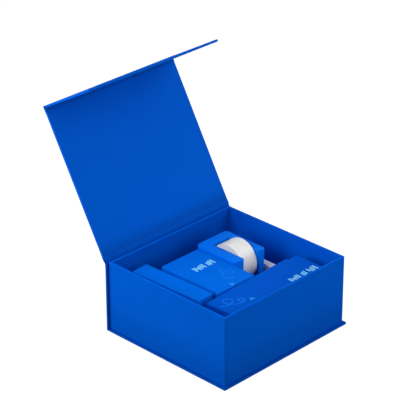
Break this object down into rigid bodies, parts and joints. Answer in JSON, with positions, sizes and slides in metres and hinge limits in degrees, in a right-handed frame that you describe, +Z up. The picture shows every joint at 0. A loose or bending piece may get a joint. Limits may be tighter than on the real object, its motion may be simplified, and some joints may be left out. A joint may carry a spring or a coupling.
{
  "type": "archival box",
  "caption": "Rigid paper-covered book-style box with hinged lid and magnetic flap, its open tray holding a tape dispenser, closed cartons and a note pad.",
  "frame": {"origin": "underside of the base, below the centre of the tray", "axes": "+X along the hinge to the right seen from the front, -Y the front with the flap, +Z up"},
  "size_m": [0.17, 0.2372, 0.248],
  "materials": {
    "cover_paper": "matte dyed cover paper",
    "greyboard": "matte",
    "liner_paper": "matte dyed lining paper",
    "white_paper": "matte",
    "carton_card": "satin printed card",
    "magnet": "polished",
    "steel": "brushed",
    "ballast": "cast",
    "dispenser_plastic": "fine matte",
    "foot_rubber": "matte",
    "hub_plastic": "satin",
    "core_card": "matte",
    "tape_film": "frosted film"
  },
  "bodies": {
    "root": {"base_board": "greyboard", "base_wrap": "cover_paper", "spine_board": "greyboard", "spine_wrap": "cover_paper", "spine_liner": "liner_paper", "tray_front_board": "greyboard", "tray_back_board": "greyboard", "tray_left_board": "greyboard", "tray_right_board": "greyboard", "tray_floor_board": "greyboard", "tray_floor_liner": "liner_paper", "tray_wrap": "cover_paper", "corner_stays": "white_paper", "strike_plates": "steel"},
    "lid": {"lid_board": "greyboard", "lid_wrap": "cover_paper", "lid_liner": "liner_paper"},
    "flap": {"flap_board": "greyboard", "flap_wrap": "cover_paper", "flap_liner": "liner_paper", "flap_magnets": "magnet"},
    "dispenser": {"dispenser_body": "dispenser_plastic", "dispenser_foot": "foot_rubber", "dispenser_ballast": "ballast", "cutter_blade": "steel"},
    "roll": {"roll_hub": "hub_plastic", "tape_core": "core_card", "tape_roll": "tape_film"},
    "wide_carton": {"wide_carton_body": "carton_card", "wide_carton_lid": "carton_card"},
    "slim_carton": {"slim_carton_body": "carton_card", "slim_carton_lid": "carton_card"},
    "long_carton": {"long_carton_body": "carton_card", "long_carton_lid": "carton_card"},
    "note_pad": {"note_pad_sheets": "white_paper", "note_pad_backing": "white_paper"}
  },
  "joints": [
    {"name": "lid_hinge", "type": "hinge", "parent": "root", "child": "lid", "pos_m": [0, 0.0786, 0.0752], "axis": [-1, 0, 0], "range_deg": [-120, 60]},
    {"name": "flap_hinge", "type": "hinge", "parent": "lid", "child": "flap", "pos_m": [0, 0.15932, 0.21081], "axis": [-1, 0, 0], "range_deg": [0, 90]},
    {"name": "dispenser_lift", "type": "slide", "parent": "root", "child": "dispenser", "axis": [0, 0, 1], "range_m": [0, 0.09]},
    {"name": "roll_spin", "type": "hinge", "parent": "dispenser", "child": "roll", "pos_m": [0.0316, 0.0197, 0.0534], "axis": [1, 0, 0], "continuous": true},
    {"name": "wide_carton_lift", "type": "slide", "parent": "root", "child": "wide_carton", "axis": [0, 0, 1], "range_m": [0, 0.09]},
    {"name": "slim_carton_lift", "type": "slide", "parent": "root", "child": "slim_carton", "axis": [0, 0, 1], "range_m": [0, 0.09]},
    {"name": "long_carton_lift", "type": "slide", "parent": "root", "child": "long_carton", "axis": [0, 0, 1], "range_m": [0, 0.09]},
    {"name": "note_pad_lift", "type": "slide", "parent": "root", "child": "note_pad", "axis": [0, 0, 1], "range_m": [0, 0.09]}
  ]
}
